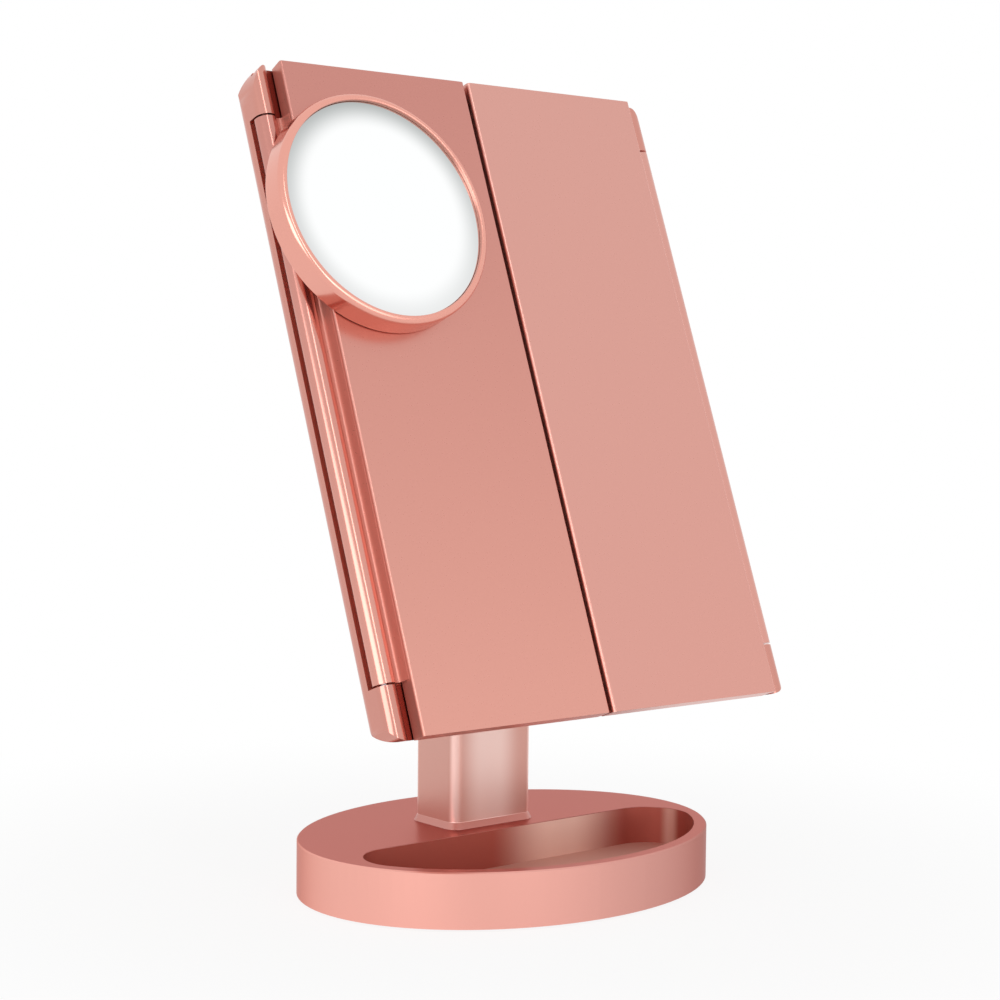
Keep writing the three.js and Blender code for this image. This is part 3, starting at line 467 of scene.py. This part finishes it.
plastic = Finish("black_plastic")
spark = plastic.noise(700, 3)
black_plastic = plastic.coat(
    Base_Color=plastic.mix(plastic.noise(50), tint(26, 26, 28), tint(38, 37, 39)),
    Roughness=0.5 + 0.18 * spark,
    Normal=plastic.bump(spark, 0.00005),
)
cap_gold = rose_gold("cap_rose_gold", (210, 156, 146), (216, 164, 154), 0.8, 0.28)
washer_bore, washer_radius, washer_half = 2.85, 7, 0.3
cap_radius, cap_height = 4.5, 1.2
for hand, side, outwards in (("left", -1, to_left), ("right", 1, to_right)):
    bm = bmesh.new()
    turned(bm, ((washer_bore, -washer_half), (washer_radius, -washer_half),
                (washer_radius, washer_half), (washer_bore, washer_half)), closed=True, steps=48)
    soften(bm, 0.12, 2)
    fit(f"friction_washer_{hand}", bm, black_plastic, f"washer_{hand}",
        place=Matrix.Translation(pivot + Vector((side * washer_out, 0, 0))) @ to_right)
    bm = bmesh.new()
    disc(bm, cap_radius, 0, cap_height)
    soften(bm, 0.3, 3)
    fit(f"bolt_cap_{hand}", bm, cap_gold, f"end_cap_{hand}",
        place=Matrix.Translation(pivot + Vector((side * cap_out, 0, 0))) @ outwards)

# Tilt bracket: a pressed plate with a rounded lug, screwed flat on the back of the housing. The lug
# turns between the fork's ears, and the paint matches the housing. From here on, pieces are drawn
# upright in the head and leaned back with it, and patterns are leaned the same way.
tilt = math.radians(20.8)
head = Matrix.Translation((0, -57.002, 70.012)) @ Matrix.Rotation(-tilt, 4, "X")
head_y, head_z = 0.07815, -0.04521
in_head = {"rotation": (tilt, 0, 0), "location": (0, head_y, head_z)}
to_front = Matrix.Rotation(math.radians(90), 4, "X")
to_back = Matrix.Rotation(math.radians(-90), 4, "X")
out_of_back = Matrix.Rotation(-tilt, 4, "X") @ to_back
head_gold = rose_gold("housing_rose_gold", (206, 142, 130), (214, 151, 138))
fit_copy("tilting_lug", "tilt_bracket", head_gold, 0.4)
for count, side in ((1, -1), (2, 1)):
    point = head @ Vector((side * 12.4, 20.9, 126.55 + side * 14.8))
    screw_in(f"lug_screw_{count}", f"bracket_screw_{count}", point, out_of_back,
             head_radius=2.4, head_height=0.9, shank_radius=1.2, length=6.9, recess=0.6)


# Housing: a deep rounded shell moulded with the battery pod on its back. Down each side runs the
# round trough in which a door's barrel turns, between two knuckles that hold the hinge rod. The
# trough is painted a bright red that stands for light bounced in it, and painted shade darkens
# the housing where a knuckle stands close to the door.
def within(value, low, high):
    """One between two limits, and nothing elsewhere."""
    return (value > low) * (value < high)


shell_paint = RoseGold("housing_and_trough_rose_gold")
cloud = shell_paint.noise(6)
out = abs(shell_paint.reach(X, **in_head))
back, up = shell_paint.reach(Y, **in_head), shell_paint.reach(Z, **in_head)
low_knuckle, high_knuckle = 0.0186, 0.2194
between_knuckles = within(up, low_knuckle, high_knuckle)
# Painted light: the trough gets a bright red that stands for light bounced in it.
trough = within(out, 0.0804, 0.0908) * within(back, 0.0079, 0.0134) * between_knuckles
# Painted shade: dark where a knuckle stands close to the door.
painted_shade_beside_knuckle = within(out, 0.0795, 0.08332) * (back < 0.0088) * (1 - between_knuckles)
coat = shell_paint.mix(0.7 * cloud + 0.3 * shell_paint.flake, tint(206, 142, 130),
                       tint(214, 151, 138))
coat = shell_paint.mix(trough, coat, tint(255, 144, 122))
shell_gold = shell_paint.spray(
    shell_paint.mix(painted_shade_beside_knuckle, coat, tint(134, 62, 53)),
    metal=0.94 - 0.5 * trough,
    gloss=0.24 + 0.3 * trough - 0.1 * (out > 0.0833) + 0.06 * cloud,
)
hinge_out, hinge_back = 87.12, 7.85
stopper_radius, stopper_height, stopper_up, knuckle_slope = 1.5, 2.6, 234.05, 0.827
bm = copied("rear_shell", 0.3)
for side in (-1, 1):
    stopper = disc(bm, stopper_radius, 0, stopper_height, 24)
    for corner in stopper:
        if corner.co.z > stopper_height / 2:
            corner.co.z -= side * knuckle_slope * corner.co.x
    hole = Matrix.Translation((side * hinge_out, hinge_back, stopper_up))
    bmesh.ops.transform(bm, matrix=head @ hole, verts=stopper)
fit("housing", bm, shell_gold, "rear_shell", from_solid=True)
for count, (x, up) in enumerate(((-58, 19), (58, 19), (-58, 219), (58, 219)), 1):
    screw_in(f"housing_screw_{count}", f"frame_screw_{count}", head @ Vector((x, 18.7, up)),
             out_of_back, head_radius=2.3, head_height=0.5, shank_radius=1.1, length=6.2,
             recess=0.35)

# Battery pod: a black tray for four slim cells, with a pressed contact plate at the top and coil
# springs at the bottom. A sprayed cover slides over it in two dovetailed rails.
fit_copy("cell_tray", "battery_tray", black_plastic, 0.2)
cell_radius, cell_length, cell_pitch = 5.25, 43.5, 11.1
cell_back, cell_foot = 19.35, 161
wrap = Finish("cell_wrap")
metal_end = 1 - within(wrap.reach(Z, **in_head), 0.1618, 0.2029)
scuff = wrap.noise(300, 4)
sleeve = wrap.mix(scuff, tint(58, 72, 84), tint(70, 84, 96))
cell_wrap = wrap.coat(
    Base_Color=wrap.mix(metal_end, sleeve, tint(206, 206, 204)),
    Metallic=0.15 + 0.85 * metal_end,
    Roughness=0.3 + 0.2 * scuff,
    Normal=wrap.bump(scuff, 0.00001),
)
for count in range(1, 5):
    bm = bmesh.new()
    disc(bm, cell_radius, 0, cell_length)
    crown = max(bm.faces, key=lambda face: face.calc_center_median().z)
    bmesh.ops.inset_region(bm, faces=[crown], thickness=3.4, use_even_offset=True)
    extrude(bm, [crown], (0, 0, 1))
    soften(bm, 0.45, 3)
    fit(f"slim_cell_{count}", bm, cell_wrap, f"battery_cell_{count}",
        place=head @ Matrix.Translation(((count - 2.5) * cell_pitch, cell_back, cell_foot)))


def bar(bm, low, high):
    """An oblong block between two opposite corners."""
    low, high = Vector(low), Vector(high)
    made = bmesh.ops.create_cube(bm, size=1)["verts"]
    bmesh.ops.scale(bm, vec=high - low, verts=made)
    bmesh.ops.translate(bm, vec=(low + high) / 2, verts=made)


to_head = head.inverted() @ Matrix.Scale(1000, 4)


def block(bm, node):
    """An oblong block as large as a node, lying square in the head."""
    points = [to_head @ corner.co for corner in frame["nodes"][node].data.vertices]
    low = [min(point[axis] for point in points) for axis in range(3)]
    high = [max(point[axis] for point in points) for axis in range(3)]
    bar(bm, low, high)


bm = bmesh.new()
block(bm, "contact_plate")
soften(bm, 0.15)
fit("contact_strip", bm, zinc_steel, "contact_plate", place=head)
spring_radius, wire_radius, spring_turns, spring_height, spring_steps = 2.05, 0.25, 3, 1.85, 54
bm = bmesh.new()
bar(bm, (-20.3, 14.1, 157.6), (20.3, 19.05, 158.1))
soften(bm, 0.12)
for count in range(4):
    middle = Vector(((count - 1.5) * cell_pitch, 16.46, 158.3))
    start = Matrix.Translation(middle + Vector((spring_radius, 0, 0))) @ to_front
    wire = bmesh.ops.create_circle(bm, segments=8, radius=wire_radius, matrix=start)["verts"]
    bmesh.ops.spin(bm, geom=wire + ring_edges(wire), angle=math.tau * spring_turns,
                   steps=spring_steps, axis=(0, 0, 1), cent=middle,
                   dvec=(0, 0, spring_height / spring_steps))
bmesh.ops.holes_fill(bm, edges=[edge for edge in bm.edges if edge.is_boundary])
fit("spring_strip", bm, zinc_steel, "spring_plate", place=head)
fit_copy("sliding_cover", "battery_cover", head_gold, 0.25)

# Control board: a green circuit board on two bosses, with its chips on the back. The charging
# socket and the slide switch stand on it behind their openings in the housing.
board = Finish("green_board")
trace = board.node("ShaderNodeTexBrick", {"offset": 0.37}, {
    "Vector": board.place(rotation=(tilt + math.pi / 2, 0, 0)), "Scale": 260, "Mortar Size": 0.018,
    "Color1": (0, 0, 0), "Color2": (0, 0, 0), "Mortar": (1, 1, 1)})
line = board.node("ShaderNodeSeparateColor", None, {0: trace})
lacquer = board.mix(0.45 * line, tint(28, 92, 58), tint(92, 150, 96))
chip = board.reach(Y, **in_head) > 0.01406
green_board = board.coat(
    Base_Color=board.mix(chip, lacquer, tint(30, 31, 33)),
    Roughness=0.34 + 0.2 * chip + 0.08 * board.noise(500),
    Normal=board.bump(board.noise(500), 0.00002),
)
board_back = 14
bm = bmesh.new()
block(bm, "control_board")
for x, up, wide, tall, high in ((0, 40, 9, 9, 1), (14, 43, 5, 4, 0.9), (-14, 38, 6, 4, 0.9),
                                (-8, 46, 3, 1.6, 0.6), (8, 34, 3, 1.6, 0.6), (18, 35, 2, 1.2, 0.6)):
    bar(bm, (x - wide / 2, board_back - 0.2, up - tall / 2),
        (x + wide / 2, board_back + high, up + tall / 2))
soften(bm, 0.12)
fit("circuit_board", bm, green_board, "control_board", place=head)
fit_copy("charging_socket", "power_socket", zinc_steel, 0.12)
fit_copy("switch_can", "switch_body", zinc_steel, 0.15)
fit_copy("switch_knob", "switch_slider", black_plastic, 0.2)

# Front frame: a sprayed bezel that drops into the housing from the front and is held by the four
# housing screws. It carries the mirror, the lights and the steel strip that the doors close on.
frame_gold = rose_gold("frame_rose_gold", (208, 144, 132), (216, 153, 140))
fit_copy("bezel", "front_frame", frame_gold, 0.25)
bm = bmesh.new()
block(bm, "catch_strip")
soften(bm, 0.2)
fit("closing_strip", bm, zinc_steel, "catch_strip", place=head)

# Centre mirror: silvered float glass with a ground edge, glued into the frame. A copper touch pad
# is stuck on its back near the bottom and switches the lights through the glass.
silver = Finish("silvered_glass")
smear = silver.noise(24, 4)
silvered_glass = silver.coat(
    Base_Color=silver.mix(smear, tint(238, 242, 243), tint(246, 248, 248)),
    Metallic=1,
    Roughness=0.012 + 0.02 * smear,
)
bm = bmesh.new()
block(bm, "centre_mirror")
soften(bm, 0.4, 1)
fit("centre_glass", bm, silvered_glass, "centre_mirror", place=head)
copper = Finish("copper_foil")
rub = copper.noise(500, 3, stretch=(1, 8, 8))
copper_foil = copper.coat(
    Base_Color=copper.mix(copper.noise(180, 3), tint(178, 108, 76), tint(204, 136, 100)),
    Metallic=0.95,
    Roughness=0.3 + 0.15 * rub,
    Normal=copper.bump(rub, 0.00001),
)
bm = bmesh.new()
disc(bm, 6, 0, 0.6)
soften(bm, 0.15)
fit("touch_foil", bm, copper_foil, "touch_pad",
    place=head @ Matrix.Translation((0, 10.8, 28.3)) @ to_back)

# Lights: a strip of frosted acrylic down each side of the mirror, over a narrow white board with
# twelve lamps. The lamps show through the acrylic as faint warm spots.
first_lamp, half_lamp_pitch = 0.0128, 0.00885
acrylic = Finish("frosted_acrylic")
from_lamp = acrylic.node("ShaderNodeMath", {"operation": "PINGPONG"}, {
    0: acrylic.reach(Z, **in_head) - first_lamp, 1: half_lamp_pitch})
glow = acrylic.ramp(from_lamp, 0.0045, 0.0088)
frost = acrylic.noise(900, 3)
frosted_acrylic = acrylic.coat(
    Base_Color=acrylic.mix(0.8 * glow + 0.1 * frost, tint(240, 240, 236), tint(252, 246, 226)),
    Roughness=0.46 + 0.1 * frost,
    Normal=acrylic.bump(frost, 0.00003),
)
mask_white = Finish("white_board")
lamp_face = mask_white.reach(Y, **in_head) < 0.01172
dust = mask_white.noise(700, 3)
mask = mask_white.mix(dust, tint(228, 228, 224), tint(240, 240, 237))
white_board = mask_white.coat(
    Base_Color=mask_white.mix(lamp_face, mask, tint(246, 214, 92)),
    Roughness=0.36 + 0.2 * dust,
    Normal=mask_white.bump(dust, 0.00001),
)
for hand in ("left", "right"):
    bm = bmesh.new()
    block(bm, f"light_strip_{hand}")
    soften(bm, 0.35, 3)
    fit(f"frosted_strip_{hand}", bm, frosted_acrylic, f"light_strip_{hand}", place=head)
    fit_copy(f"lamp_board_{hand}", f"led_board_{hand}", white_board, 0.1)

# Doors: each is a thick moulded cover whose outer edge runs down a cove to a long hinge barrel, and
# a steel rod through the barrel joins it to the knuckles. A mirror is glued in its back, over the
# magnet that holds it shut. The left cover carries painted shade at its top and painted light
# towards its bottom.
seam_half, door_growth = 3.2, 0.45
rod_radius, rod_low, rod_high = 1.25, 2.5, 234
for hand, side, deep, pale in (("left", -1, (201, 137, 127), (224, 160, 146)),
                               ("right", 1, (217, 160, 149), (220, 159, 147))):
    door_paint = RoseGold(f"{hand}_door_rose_gold")
    out = abs(door_paint.reach(X, **in_head))
    cove = within(out, 0.0798, 0.0835) * (door_paint.reach(Y, **in_head) > 0.0006)
    # Painted shade and light: a cover is darker at its top and paler at its bottom.
    painted_light_downwards = door_paint.ramp(door_paint.reach(Z, **in_head), 0.23, 0.01, kind="LINEAR")
    cover = door_paint.mix(0.85 * painted_light_downwards + 0.15 * door_paint.flake, tint(*deep), tint(*pale))
    door_gold = door_paint.spray(
        door_paint.mix(cove, cover, tint(214, 142, 128)),
        metal=0.94 - 0.44 * cove,
        gloss=0.27 - 0.1 * (out > 0.0835),
    )
    bm = bmesh.new()
    disc(bm, rod_radius, rod_low, rod_high, 32)
    soften(bm, 0.35, 3)
    fit(f"steel_pin_{hand}", bm, zinc_steel, f"hinge_rod_{hand}",
        place=head @ Matrix.Translation((side * hinge_out, hinge_back, 0)))
    bm = copied(f"{hand}_door", 0.22)
    for corner in bm.verts:
        if abs(corner.co.x) < seam_half:
            corner.co.x -= side * door_growth
    fit(f"door_panel_{hand}", bm, door_gold, f"{hand}_door", from_solid=True)
    bm = bmesh.new()
    block(bm, f"{hand}_door_mirror")
    soften(bm, 0.35, 1)
    fit(f"door_glass_{hand}", bm, silvered_glass, f"{hand}_door_mirror", place=head)
    bm = bmesh.new()
    disc(bm, 3.5, 0, 1.3)
    soften(bm, 0.2)
    fit(f"closing_magnet_{hand}", bm, zinc_steel, f"{hand}_door_magnet",
        place=head @ Matrix.Translation((side * 9, 2.9, 230.5)) @ to_back)

# Spot mirror: a round magnifying glass in a moulded ring with a rolled front rim, rubbed glossy
# where it stands past the door's edge. A magnet in its back holds it on the left door, where a
# steel keeper plate lies behind the door's skin.
spot_x, spot_up = -57, 180.5
bm = bmesh.new()
disc(bm, 14, 0, 0.8, 64)
soften(bm, 0.15)
fit("keeper_disc", bm, zinc_steel, "keeper_plate",
    place=head @ Matrix.Translation((spot_x, 3.4, spot_up)) @ to_back)
spot = head @ Matrix.Translation((spot_x, 0, spot_up)) @ to_front
spot_paint = RoseGold("spot_rose_gold")
door_edge = 0.0816
past_door = abs(spot_paint.reach(X)) > door_edge
cloud = spot_paint.noise(6)
share = 0.85 * cloud + 0.15 * spot_paint.flake
spot_gold = spot_paint.spray(
    spot_paint.mix(share, tint(231, 162, 147), tint(238, 170, 155)),
    metal=0.94,
    gloss=0.22 - 0.1 * past_door + 0.06 * cloud,
)
ring_radius, ring_front, glass_seat, rim_roll = 42.75, 10.2, 39.9, 2.2
bm = bmesh.new()
turned(bm, ((0, 0.3), (ring_radius, 0.3), (ring_radius, ring_front), (glass_seat, ring_front),
            (glass_seat, 5.6), (10.3, 5.6), (10.3, 1.7), (0, 1.7)))
soften(bm, rim_roll, 6, where=lambda middle: middle.z > 10 and middle.xy.length > 42)
soften(bm, 0.5, 3, 50)
fit("spot_ring", bm, spot_gold, "spot_shell", place=spot)
bm = bmesh.new()
disc(bm, 10, 2, 4)
soften(bm, 0.3)
fit("spot_holder", bm, zinc_steel, "spot_magnet", place=spot)
lens = Finish("spot_glass")
from_spot = lens.place(rotation=(tilt, 0, 0),
                       location=(-spot_x / 1000, head_y, head_z - spot_up / 1000))
in_glass = lens.node("ShaderNodeVectorMath", {"operation": "MULTIPLY"}, {
    0: from_spot, 1: (1, 0, 1)})
# Painted shade: a grey ring round the glass's rim, strongest towards its top, stands for the ring's
# dark reflection.
edge = lens.ramp(lens.length(in_glass), 0.03, 0.0405)
rise = lens.node("ShaderNodeSeparateXYZ", None, {0: from_spot}, Z)
smear = lens.noise(24, 4)
spot_glass = lens.coat(
    Base_Color=lens.mix(edge * (0.62 + 9 * rise), tint(254, 255, 255), tint(176, 180, 179)),
    Metallic=1,
    Roughness=0.012 + 0.015 * smear,
)
glass_radius, glass_back, glass_front, bowl_depth, bowl_steps = 39.85, 5.9, 8.7, 1.5, 12
bowl = [(glass_radius * step / bowl_steps,
         glass_front - bowl_depth * (1 - (step / bowl_steps) ** 2))
        for step in range(bowl_steps, -1, -1)]
bm = bmesh.new()
turned(bm, [(0, glass_back), (glass_radius, glass_back), *bowl])
soften(bm, 0.25, 2)
fit("magnifying_glass", bm, spot_glass, "spot_mirror", place=spot)


# Floor: a plain white sheet that runs off to white in the distance and keeps the mirror's soft
# shadow close to its base.
def seen_rays(finish):
    """One for a ray that shows a thing itself or in metal or glass, nothing for one that lights."""
    seen, mirrored, through = (finish.node("ShaderNodeLightPath", output=f"Is {kind} Ray")
                               for kind in ("Camera", "Glossy", "Transmission"))
    return seen + mirrored + through


bm = bmesh.new()
bmesh.ops.create_circle(bm, cap_ends=True, segments=96, radius=6)
sheet = bpy.data.meshes.new("floor")
bm.to_mesh(sheet)
bm.free()
floor = bpy.data.objects.new("floor", sheet)
scene.collection.objects.link(floor)
paper = Finish("white_paper")
paper.coat(
    Base_Color=paper.mix(paper.noise(30), (0.955, 0.955, 0.955), (0.975, 0.975, 0.975)),
    Roughness=0.9,
)
fade = paper.ramp(paper.length(paper.place()), 0.1, 0.34, 0.87, 1.0)
shown = paper.node("ShaderNodeMixShader", None, {
    0: fade * seen_rays(paper),
    1: Level(paper, paper.shader.outputs[0]),
    2: paper.node("ShaderNodeEmission", None, {"Color": (1, 1, 1), "Strength": 1}),
})
paper.join(paper.tree.nodes["Material Output"], {"Surface": shown})
sheet.materials.append(paper.made)

# Light: a white studio all round, a large soft box on the left for the barrels and the base, a
# narrow upright strip at the front that draws a line down the round edges, and a low dim box at the
# right front that brightens the lower part of the doors.
studio = Finish("white_studio", bpy.data.worlds, "Background")
studio.coat(Color=(1, 1, 1), Strength=0.55 + 0.45 * seen_rays(studio))
scene.world = studio.made


def soft_box(name, place, aim, width, height, power):
    """A rectangular lamp that looks at a point."""
    box = bpy.data.lights.new(name, "AREA")
    box.shape, box.size, box.size_y, box.energy = "RECTANGLE", width, height, power
    light = bpy.data.objects.new(name, box)
    scene.collection.objects.link(light)
    light.location = place
    light.rotation_euler = (Vector(aim) - Vector(place)).to_track_quat("-Z", "Y").to_euler()


soft_box("left_box", (-2.1, -1.2, 0.66), (0, 0, 0.15), width=1.8, height=1.25, power=14)
soft_box("front_strip", (-0.42, -2.15, 1.15), (0, 0, 0.15), width=0.26, height=2.4, power=6.5)
soft_box("front_box", (0.35, -2.2, 0.36), (0, 0, 0.1), width=1.5, height=0.7, power=6)

scene.view_settings.view_transform = "Standard"
